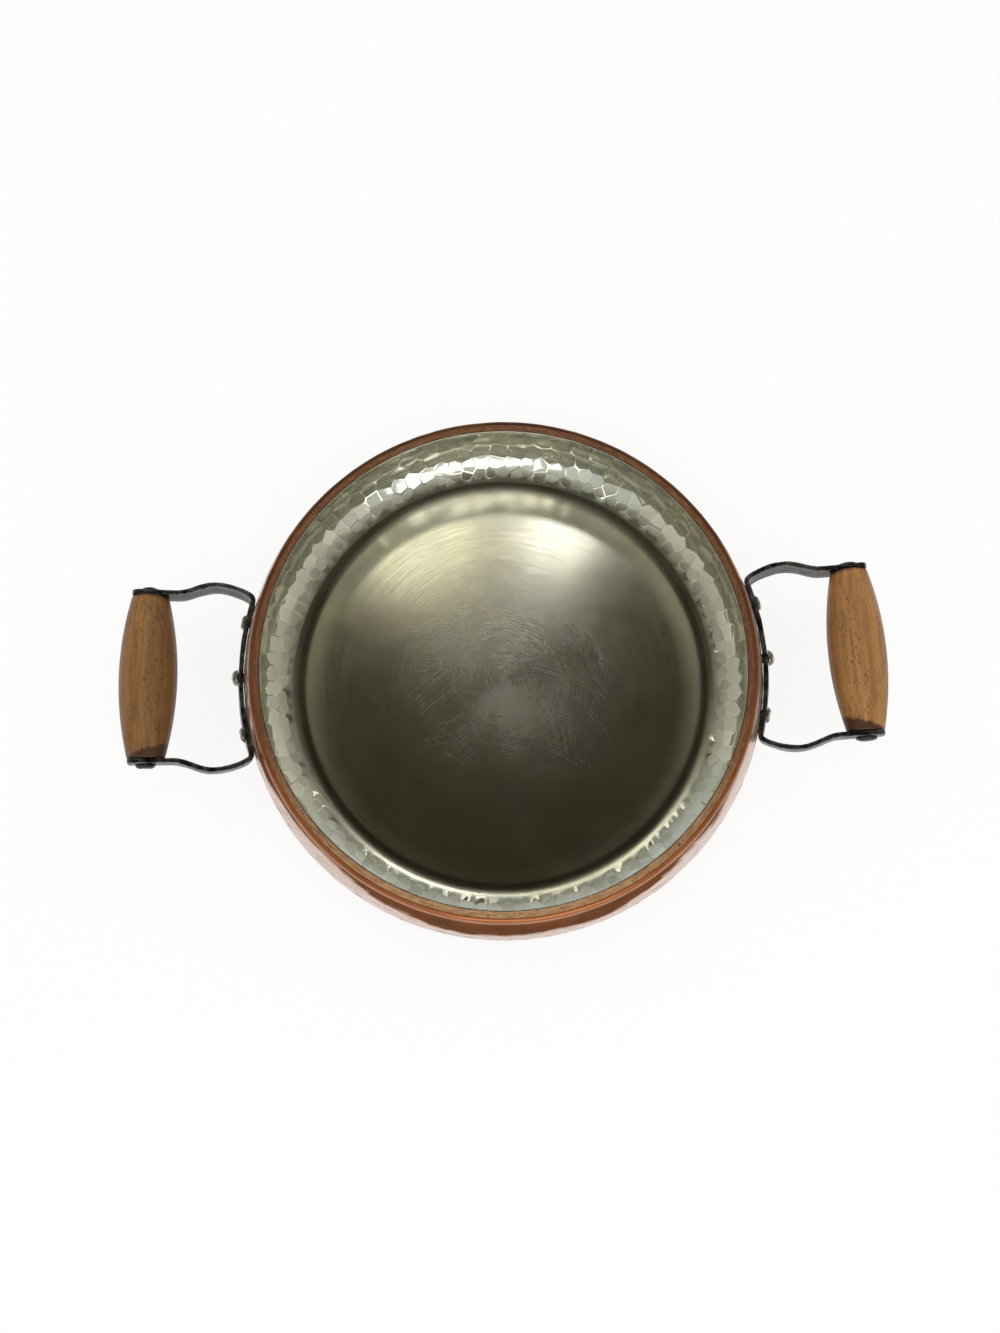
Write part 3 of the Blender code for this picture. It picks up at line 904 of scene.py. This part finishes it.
def tin_lining(tree):
    inner = beside(outer_face(), COPPER_THICKNESS + CLEARANCE + TIN_THICKNESS)
    outer = beside(outer_face(), COPPER_THICKNESS + CLEARANCE)
    floor = floor_rings(inner[0].x, inner[0].y, FLOOR_PRESSED_UP)
    lip_low = POT_HEIGHT - RIM_LIP_HEIGHT
    track = Track(inner)
    rings = [track.reaches(height) for height in TIN_HEIGHTS]
    corner = [place for place in inner if place.y < track.at(rings[0]).y - 0.00005]
    neck = [
        Vector((OPENING_RADIUS + 0.0024, lip_low - 0.0022)),
        Vector((OPENING_RADIUS + 0.0012, lip_low - 0.0010)),
        Vector((OPENING_RADIUS + 0.0003, lip_low - 0.0001)),
        Vector((OPENING_RADIUS, POT_HEIGHT - 0.0003)),
        Vector((OPENING_RADIUS + 0.0001, POT_HEIGHT - 0.00005)),
        Vector((OPENING_RADIUS + TIN_THICKNESS - 0.0001, POT_HEIGHT)),
        Vector((OPENING_RADIUS + TIN_THICKNESS, POT_HEIGHT - 0.0001)),
        Vector((OPENING_RADIUS + TIN_THICKNESS, lip_low)),
    ]
    bottom = outer[0].y
    back = [place for place in outer if place.y < lip_low - NECK_START][::-4]
    back = [place for place in back if place.y > bottom + 0.0002]
    back += [Vector((outer[0].x, bottom)), Vector((0.05, bottom)), Vector((0, bottom))]
    marks = {"rows": 7, "growth": 1.12, "seed": 11}
    wall_tin = tin_wall_finish()
    inputs = {
        "Crease share": 0.08, "Tilt": 0.12, "Dish": 13.0, "Deepest": 0.0003, "Seed": 4,
        "Material": wall_tin,
    }
    shape = hammered_shell(
        "tin", track, rings, marks, tree, inputs, corner[::-1] + floor[::-1], neck + back
    )
    mesh = plain_mesh("tin_lining_hammered", shape)
    for polygon in mesh.polygons:
        polygon.material_index = int(bottom + 0.0001 < polygon.center.z < TURNED_FLOOR_TOP)
    materials = [wall_tin, tin_floor_finish()]
    return finished("tin_lining_hammered", mesh, materials, "pot", "tin", "tin_lining")


def copper_body(tree):
    outer = outer_face()
    inner = beside(outer, COPPER_THICKNESS)
    lip_low = POT_HEIGHT - RIM_LIP_HEIGHT
    lip_radius = OPENING_RADIUS + TIN_THICKNESS + CLEARANCE
    flat_radius = lip_radius + RIM_EDGE_WIDTH
    rim = []
    for share in shares(7)[::-1]:
        turn = share * math.pi / 2
        radius = flat_radius + (SHOULDER_RADIUS - flat_radius) * math.sin(turn)
        rim.append(Vector((radius, POT_HEIGHT - SHOULDER_DROP * (1 - math.cos(turn)))))
    rim += [
        Vector((lip_radius + 0.0014, POT_HEIGHT)), Vector((lip_radius + 0.0007, POT_HEIGHT)),
        Vector((lip_radius + 0.0002, POT_HEIGHT)), Vector((lip_radius, POT_HEIGHT - 0.0002)),
        Vector((lip_radius, lip_low)),
    ]
    bottom = inner[0].y
    inside = [place for place in inner if bottom + 0.0002 < place.y < lip_low - NECK_START][::-4]
    inside += [Vector((inner[0].x, bottom)), Vector((0.05, bottom)), Vector((0, bottom))]
    track = Track(outer)
    rings = [track.reaches(height) for height in COPPER_HEIGHTS]
    corner = [place for place in outer if place.y < track.at(rings[0]).y - 0.0001]
    base = [Vector((0, 0)), Vector((0.04, 0)), Vector((0.08, 0)), Vector((0.106, 0))]
    marks = {"rows": 8, "growth": 1.06, "seed": 23}
    wall_copper = copper_finish()
    inputs = {
        "Crease share": 0.10, "Tilt": 0.05, "Dish": -4.0, "Deepest": 0.0001, "Seed": 9,
        "Material": wall_copper,
    }
    upper = [place for place in outer if place.y > track.at(rings[3]).y + 0.0003]
    shape = hammered_shell(
        "copper", track, rings, marks, tree, inputs,
        corner[::-1] + base[::-1], upper[:-1] + rim + inside,
    )
    roughened(
        shape, 0.00016, 0.006, 3,
        lambda place: max(0, min(1, (place.z - POT_HEIGHT + 0.003) / 0.002)),
    )
    top = max(vertex.co.z for vertex in shape.verts)
    for vertex in shape.verts:
        if vertex.co.z > POT_HEIGHT - 0.002:
            vertex.co.z -= max(0, top - POT_HEIGHT)
    mesh = plain_mesh("copper_body_hammered", shape)
    for polygon in mesh.polygons:
        spread = math.hypot(polygon.center.x, polygon.center.y)
        if polygon.center.z > POT_HEIGHT - 0.0006 and spread < flat_radius + 0.0007:
            polygon.material_index = 1
        elif polygon.center.z < 0.0003:
            polygon.material_index = 2
    materials = [wall_copper, rim_finish(), base_finish()]
    return finished("copper_body_hammered", mesh, materials, "pot", "copper", "pot_body")


# Handles


def bracket_height():
    return POT_HEIGHT - BRACKET_DROP


def handle_frame(half_turn):
    """From the handle's own frame, which lies square to the leaning wall, to the pot's."""
    lean = wall_lean(bracket_height())
    reach = wall_radius(bracket_height()) * math.cos(half_turn)
    place = Matrix.Translation((reach, 0, bracket_height()))
    return place @ Euler((0, -lean, half_turn)).to_matrix().to_4x4()


def grip_frame(half_turn):
    """The handle's frame moved out to the grip, with Z along the grip."""
    along = Euler((-math.pi / 2, 0, 0)).to_matrix().to_4x4()
    return handle_frame(half_turn) @ (Matrix.Translation((GRIP_REACH, 0, 0)) @ along)


def wall_gap(reach, along, across):
    """How far a point of the strap's back stands off the wall."""
    lean = wall_lean(bracket_height())
    out = wall_radius(bracket_height()) + reach * math.cos(lean) - across * math.sin(lean)
    height = bracket_height() + reach * math.sin(lean) + across * math.cos(lean)
    return (math.hypot(out, along) - wall_radius(height)) * math.cos(lean)


def strap_reach(along):
    """How far out the strap's back lies, so that it just clears the wall."""
    across = [STRIP_WIDTH * (share - 1 / 2) for share in shares(4)]
    reach = 0
    for _ in range(12):
        reach += CLEARANCE - min(wall_gap(reach, along, place) for place in across)
    return reach


def strap_turn(along):
    step = STRIP_THICKNESS
    return math.atan2(strap_reach(along - step) - strap_reach(along + step), 2 * step)


def arm_half_span():
    return GRIP_LENGTH / 2 + CLEARANCE + STRIP_THICKNESS


def half_strip():
    """Back of the strip from one arm's tip to the middle of the strap."""
    tip = GRIP_REACH + TIP_OVERHANG
    arm = [Vector((tip, arm_half_span()))]
    for share in shares(24):
        reach = FLARE_REACH + (BULGE_REACH - FLARE_REACH) * share
        rise = (BULGE_HALF_SPAN - arm_half_span()) * (1 - math.cos(share * math.pi)) / 2
        arm.append(Vector((reach, arm_half_span() + rise)))
    root = Vector((strap_reach(ROOT_HALF_SPAN), ROOT_HALF_SPAN))
    for share in shares(16)[1:-1]:
        reach = BULGE_REACH + (root.x - BULGE_REACH) * share
        arm.append(Vector((reach, BULGE_HALF_SPAN - (BULGE_HALF_SPAN - root.y) * share**2)))
    while (arm[-1] - root).length < ROOT_BEND_RADIUS * 1.05:
        arm.pop()
    spans = [ROOT_HALF_SPAN * (1 - share) for share in shares(24)[1:]]
    strap = [Vector((strap_reach(span), span)) for span in spans]
    bend = rounded(arm[-1], root, strap[2], ROOT_BEND_RADIUS, 10)
    strap = [place for place in strap if place.y < bend[-1].y - 0.0005]
    return arm + bend + strap


def strip_path():
    """Middle line of the strip from tip to tip."""
    half = half_strip()
    back = half + [Vector((place.x, -place.y)) for place in half[-2::-1]]
    return beside(back, STRIP_THICKNESS / 2)


def strip_section():
    """The strip's outline across its width, from a share of its width and thickness."""
    inner_wide = STRIP_WIDTH / 2 - STRIP_WORN_ROUND
    inner_thick = STRIP_THICKNESS / 2 - STRIP_WORN_ROUND
    outline = []
    corners = ((1, 1, 0), (-1, 1, 1), (-1, -1, 2), (1, -1, 3))
    for wide, thick, quarter in corners:
        centre = Vector((wide * inner_wide, thick * inner_thick))
        for share in shares(3):
            turn = (quarter + share) * math.pi / 2
            edge = centre + STRIP_WORN_ROUND * Vector((math.cos(turn), math.sin(turn)))
            outline.append((edge, 1.0))
        follow = corners[(quarter + 1) % 4]
        ahead = Vector((follow[0] * inner_wide, follow[1] * inner_thick))
        turn = (quarter + 1) * math.pi / 2
        outwards = STRIP_WORN_ROUND * Vector((math.cos(turn), math.sin(turn)))
        steps = 7 if quarter % 2 == 0 else 2
        for share in shares(steps)[1:-1]:
            near_edge = 0.4 if share in (shares(steps)[1], shares(steps)[-2]) else 0.0
            outline.append((centre.lerp(ahead, share) + outwards, near_edge))
    return outline


def bracket(side, half_turn, material, seed):
    track = Track(strip_path())
    total = track.lengths[-1]
    near_tip = [0, 0.00012, 0.0003, 0.0006, 0.001, 0.0016, 0.0023, 0.0031, 0.004]
    count = round((total - 2 * near_tip[-1]) / STRIP_SPACING)
    middle = [near_tip[-1] + (total - 2 * near_tip[-1]) * share for share in shares(count)[1:-1]]
    distances = near_tip + middle + [total - step for step in near_tip[::-1]]
    places = [track.at(distance) for distance in distances]
    section = strip_section()
    shape = bmesh.new()
    layer = shape.verts.layers.float.new("edge")
    rings = []
    for index, (place, distance) in enumerate(zip(places, distances)):
        before, after = places[max(0, index - 1)], places[min(len(places) - 1, index + 1)]
        run = (after - before).normalized()
        square = Vector((-run.y, run.x))
        from_tip = min(distance, total - distance)
        cut = max(0, TIP_CORNER_RADIUS - from_tip)
        narrow = TIP_CORNER_RADIUS - math.sqrt(TIP_CORNER_RADIUS**2 - cut**2)
        dip = max(0, STRIP_WORN_ROUND - from_tip)
        thin = STRIP_WORN_ROUND - math.sqrt(STRIP_WORN_ROUND**2 - dip**2)
        wide_share = 1 - narrow / (STRIP_WIDTH / 2)
        thick_share = 1 - thin / (STRIP_THICKNESS / 2)
        ring = []
        for offset, worn in section:
            flat = place + square * offset.y * thick_share
            vertex = shape.verts.new((flat.x, flat.y, offset.x * wide_share))
            vertex[layer] = max(worn, 1.0 if from_tip < 0.0004 else 0.0)
            ring.append(vertex)
        rings.append(ring)
    for ring, following in zip(rings, rings[1:]):
        for index in range(len(ring)):
            after = (index + 1) % len(ring)
            shape.faces.new((ring[index], ring[after], following[after], following[index]))
    shape.faces.new(rings[0])
    shape.faces.new(rings[-1])
    bmesh.ops.recalc_face_normals(shape, faces=shape.faces)
    roughened(shape, 0.00028, 0.008, seed)
    roughened(shape, 0.00007, 0.0022, seed + 4)
    shape.transform(handle_frame(half_turn))
    mesh = plain_mesh(side + "_iron_bracket", shape)
    return finished(
        side + "_iron_bracket", mesh, [material], "pot", "black_iron", side + "_bracket"
    )


def grip(side, half_turn, material):
    half = GRIP_LENGTH / 2
    bore = ROD_RADIUS + CLEARANCE
    section = []
    for share in shares(4):
        turn = share * math.pi / 2
        radius = GRIP_END_RADIUS - GRIP_EDGE_ROUND * (1 - math.sin(turn))
        section.append(Vector((radius, half - GRIP_EDGE_ROUND * (1 - math.cos(turn)))))
    barrel = []
    for share in shares(64)[1:-1]:
        off_middle = 1 - 2 * share
        swell = (GRIP_MIDDLE_RADIUS - GRIP_END_RADIUS) * (1 - off_middle**2)
        barrel.append(Vector((GRIP_END_RADIUS + swell, (half - GRIP_EDGE_ROUND) * off_middle)))
    lower = [Vector((place.x, -place.y)) for place in section[::-1]]
    bored = [Vector((bore + 0.0005, half)), Vector((bore, half - 0.0005))]
    section = bored[::-1] + section + barrel + lower
    section += [Vector((place.x, -place.y)) for place in bored]
    shape = bmesh.new()
    angles = even_angles(72)
    first = turned(shape, section[:1], angles)
    last = turned(shape, section[1:], angles, first)
    for index in range(len(first)):
        after = (index + 1) % len(first)
        shape.faces.new((last[index], last[after], first[after], first[index]))
    shape.transform(grip_frame(half_turn))
    mesh = plain_mesh(side + "_wooden_grip", shape)
    body = side + "_grip_turner"
    return finished(side + "_wooden_grip", mesh, [material], body, "oiled_wood", side + "_grip")


def domed_head(radius, height, points=8):
    turns = [share * math.pi / 2 for share in shares(points)]
    return [Vector((radius * math.sin(turn), height * math.cos(turn))) for turn in turns]


def flat_head(radius, height):
    crown = radius * FLAT_CROWN_SHARE
    edge = [place + Vector((crown, 0)) for place in domed_head(radius - crown, height)]
    level = [Vector((0, height)), Vector((crown / 2, height))]
    return level + edge


def pin_section(top_seat, top_head, bottom_seat, bottom_head, shank_radius):
    """A pin with a head above each seat, from one crown's centre to the other's."""
    top = [place + Vector((0, top_seat)) for place in top_head]
    bottom = [Vector((place.x, -place.y - bottom_seat)) for place in bottom_head[::-1]]
    shank = [Vector((shank_radius, top_seat)), Vector((shank_radius, -bottom_seat))]
    return top + shank + bottom


def rod(side, half_turn, material, seed):
    """The rod through the arms and the grip, its ends hammered over unevenly."""
    seat = arm_half_span() + CLEARANCE
    end = flat_head(ROD_HEAD_RADIUS, ROD_HEAD_HEIGHT)
    shape = bmesh.new()
    turned(shape, pin_section(seat, end, seat, end, ROD_RADIUS), even_angles(40))
    bmesh.ops.recalc_face_normals(shape, faces=shape.faces)
    roughened(shape, 0.0005, 0.0035, seed, lambda place: float(abs(place.z) > seat + HEAD_MARGIN))
    shape.transform(grip_frame(half_turn))
    mesh = plain_mesh(side + "_iron_rod", shape)
    return finished(side + "_iron_rod", mesh, [material], "pot", "rod_iron", side + "_grip_rod")


# Rivets


def rivet_tree():
    """Sets a pin on each point, along the point's own direction and turned about it at random."""
    plan, given = started_tree("rivets", "Rivets", {
        "Places": "Geometry", "Pin": "Object", "Seed": "Int", "Material": "Material",
    })
    facing = plan.node(
        "GeometryNodeInputNamedAttribute", {"data_type": "FLOAT_VECTOR"}, {"Name": "facing"}
    )
    aimed = plan.node("FunctionNodeAlignRotationToVector", {"axis": "Z"}, {"Vector": facing})
    spin = plan.node("FunctionNodeRandomValue", {"data_type": "FLOAT"}, {
        2: 0.0, 3: 2 * math.pi, "Seed": given["Seed"],
    }, out=1)
    pin = plan.node("GeometryNodeObjectInfo", None, {"Object": given["Pin"]}, out="Geometry")
    placed = plan.node("GeometryNodeInstanceOnPoints", None, {
        "Points": given["Places"], "Instance": pin, "Rotation": aimed,
    })
    placed = plan.node("GeometryNodeRotateInstances", None, {
        "Instances": placed, "Rotation": plan.joined(0.0, 0.0, spin), "Local Space": True,
    })
    return ended_tree(plan, placed, given["Material"])


def rivets(name, spans, outer_head, tree, material, seed, *nodes):
    """The rivets at some places along both straps, as one mesh on the pot."""
    places, facings = [], []
    for half_turn in (0, math.pi):
        place = handle_frame(half_turn)
        for span in spans:
            places.append(place @ Vector((strap_reach(span), span, 0)))
            facing = Euler((0, math.pi / 2, strap_turn(span))).to_matrix() @ Vector((0, 0, 1))
            facings.append(place.to_3x3() @ facing)
    host_mesh = bpy.data.meshes.new(name + "_places")
    host_mesh.from_pydata(places, [], [])
    facing_values = host_mesh.attributes.new("facing", "FLOAT_VECTOR", "POINT")
    facing_values.data.foreach_set("vector", [part for facing in facings for part in facing])
    gap = wall_gap(strap_reach(spans[0]), spans[0], 0)
    top = STRIP_THICKNESS + CLEARANCE
    bottom = gap + COPPER_THICKNESS + CLEARANCE + TIN_THICKNESS + INNER_HEAD_SEAT
    inner_head = flat_head(INNER_HEAD_RADIUS, INNER_HEAD_HEIGHT)
    shape = bmesh.new()
    section = pin_section(top, outer_head, bottom, inner_head, RIVET_SHANK_RADIUS)
    turned(shape, section, even_angles(32))
    bmesh.ops.recalc_face_normals(shape, faces=shape.faces)
    roughened(
        shape, 0.0004, 0.003, seed,
        lambda place: float(place.z > top + HEAD_MARGIN or place.z < -bottom - HEAD_MARGIN),
    )
    pin = collected(name + "_pin", plain_mesh(name + "_pin", shape))
    mesh = grown(
        collected(name + "_places", host_mesh), tree,
        {"Pin": pin, "Seed": seed, "Material": material},
    )
    bpy.data.objects.remove(pin)
    mesh.shade_smooth()
    return finished(name, mesh, [material], "pot", "rivet_steel", *nodes)


# The studio


def seen_ray(plan, *kinds):
    """1 for a ray of one of these kinds."""
    ray = plan.node("ShaderNodeLightPath").socket.node
    total = 0.0
    for kind in kinds:
        total = Wire(plan, ray.outputs[kind]) + total
    return plan.maths("MINIMUM", total, 1.0)


def studio():
    shape = bmesh.new()
    bmesh.ops.create_grid(shape, x_segments=1, y_segments=1, size=6)
    mesh = bpy.data.meshes.new("floor")
    shape.to_mesh(mesh)
    shape.free()
    floor = collected("floor", mesh)
    finish = Finish("white_floor")
    finish.close({"Base Color": (0.9, 0.9, 0.9), "Roughness": 0.7})
    finish.shader.inputs["Specular IOR Level"].default_value = 0.2
    glow = finish.node("ShaderNodeEmission", None, {"Color": (1.0, 1.0, 1.0)})
    lit = finish.node("ShaderNodeMixShader", None, {
        0: seen_ray(finish, "Is Camera Ray", "Is Glossy Ray", "Is Transmission Ray") * 0.8,
        1: Wire(finish, finish.shader.outputs[0]), 2: glow,
    })
    finish.feed(finish.tree.nodes["Material Output"].inputs["Surface"], lit)
    mesh.materials.append(finish.material)
    floor.location.z = -0.0001


def sky():
    """Soft light all round: white low down, grey at the sides and nearly black overhead."""
    world = bpy.data.worlds.new("studio")
    bpy.context.scene.world = world
    world.use_nodes = True
    plan = Plan(world.node_tree)
    background = world.node_tree.nodes["Background"]
    _, back, height = plan.parts(plan.node("ShaderNodeTexCoord", out="Generated"))
    light = plan.node("ShaderNodeValToRGB", {"stops": (
        (0.0, (1.0, 1.0, 1.0)), (0.12, (0.85, 0.85, 0.83)), (0.30, (0.50, 0.49, 0.42)),
        (0.60, (0.42, 0.41, 0.34)), (0.86, (0.24, 0.235, 0.19)), (0.925, (0.13, 0.12, 0.09)),
        (0.955, (0.045, 0.040, 0.026)), (1.0, (0.032, 0.027, 0.016)),
    )}, {0: height})
    front = plan.ranged(back * -1.0, 0.25, 0.75) * plan.ranged(height, 0.93, 0.80)
    light = plan.mixed(front, light, (0.62, 0.63, 0.60))
    behind = plan.ranged(back, 0.35, 0.85) * plan.ranged(height, 0.80, 0.55)
    light = plan.mixed(behind * 0.75, light, (0.52, 0.58, 0.62))
    glow = plan.ranged(back, 0.28, 0.42) * plan.ranged(height, 0.80, 0.90)
    light = plan.mixed(glow * 0.8, light, (0.34, 0.33, 0.28))
    seen = seen_ray(plan, "Is Camera Ray", "Is Transmission Ray")
    plan.feed(background.inputs["Color"], plan.mixed(seen, light, (1.0, 1.0, 1.0)))
    background.inputs["Strength"].default_value = 1.0


def lamp(name, place, aim, size, power, colour):
    light = bpy.data.lights.new(name, "AREA")
    light.shape = "RECTANGLE"
    light.size, light.size_y = size
    light.energy = power
    light.color = colour
    holder = collected(name, light)
    holder.location = place
    holder.rotation_euler = (Vector(aim) - Vector(place)).to_track_quat("-Z", "Y").to_euler()
    return holder


def camera():
    data = bpy.data.cameras.new("photo_camera")
    data.sensor_width = SENSOR_SIZE
    data.lens = FOCAL_PIXELS / max(PHOTO_WIDTH, PHOTO_HEIGHT) * SENSOR_SIZE
    data.clip_start, data.clip_end = 0.01, 50
    holder = collected("photo_camera", data)
    turn = Euler((0, 0, -POT_TURN)).to_matrix()
    holder.location = turn @ Vector(CAMERA_PLACE)
    holder.rotation_euler = (CAMERA_TILT, 0, -POT_TURN)
    bpy.context.scene.camera = holder


def main():
    camera()
    studio()
    sky()
    lamp("right_lamp", (0.16, 0.627, 1.55), (0, 0.05, 0), (0.13, 0.13), 0.36, (1, 1, 0.97))
    lamp("left_lamp", (-0.168, 0.615, 1.55), (0, 0.05, 0), (0.30, 0.20), 0.42, (1, 0.96, 0.76))
    lamp("window", (0.2, -1.5, 1.1), (0, 0, 0), (1.4, 0.6), 5.0, (1, 1, 1))
    fill = lamp("fill", (0, 0, 1.8), (0, 0, 0), (2.6, 2.6), 34.0, (1, 1, 1))
    fill.visible_glossy = False

    hammered = hammer_tree()
    tin_lining(hammered)
    copper_body(hammered)
    strip_iron = iron_finish("black_iron", 0.55)
    rod_iron = iron_finish("rod_iron", 0.3)
    right_wood = wood_finish(
        "right_oiled_wood", (0.38, 0.185, 0.056), (0.27, 0.118, 0.034), (0.3, 0.1, 0)
    )
    left_wood = wood_finish(
        "left_oiled_wood", (0.26, 0.125, 0.036), (0.17, 0.074, 0.021), (0.9, 0.4, 0.2)
    )
    for side, half_turn, wood, seed in (
        ("right", 0, right_wood, 31), ("left", math.pi, left_wood, 47)
    ):
        bracket(side, half_turn, strip_iron, seed)
        grip(side, half_turn, wood)
        rod(side, half_turn, rod_iron, seed + 2)
    pins, rivet_metal = rivet_tree(), rivet_finish()
    middle_head = domed_head(MIDDLE_HEAD_RADIUS, MIDDLE_HEAD_HEIGHT)
    rivets(
        "middle_rivets", (0,), middle_head, pins, rivet_metal, 5,
        "right_rivet_middle", "left_rivet_middle",
    )
    side_head = flat_head(SIDE_HEAD_RADIUS, SIDE_HEAD_HEIGHT)
    rivets(
        "side_rivets", (RIVET_SPACING, -RIVET_SPACING), side_head, pins, rivet_metal, 8,
        "right_rivet_back", "right_rivet_front", "left_rivet_front", "left_rivet_back",
    )
    bpy.context.scene.view_settings.view_transform = "Standard"


main()
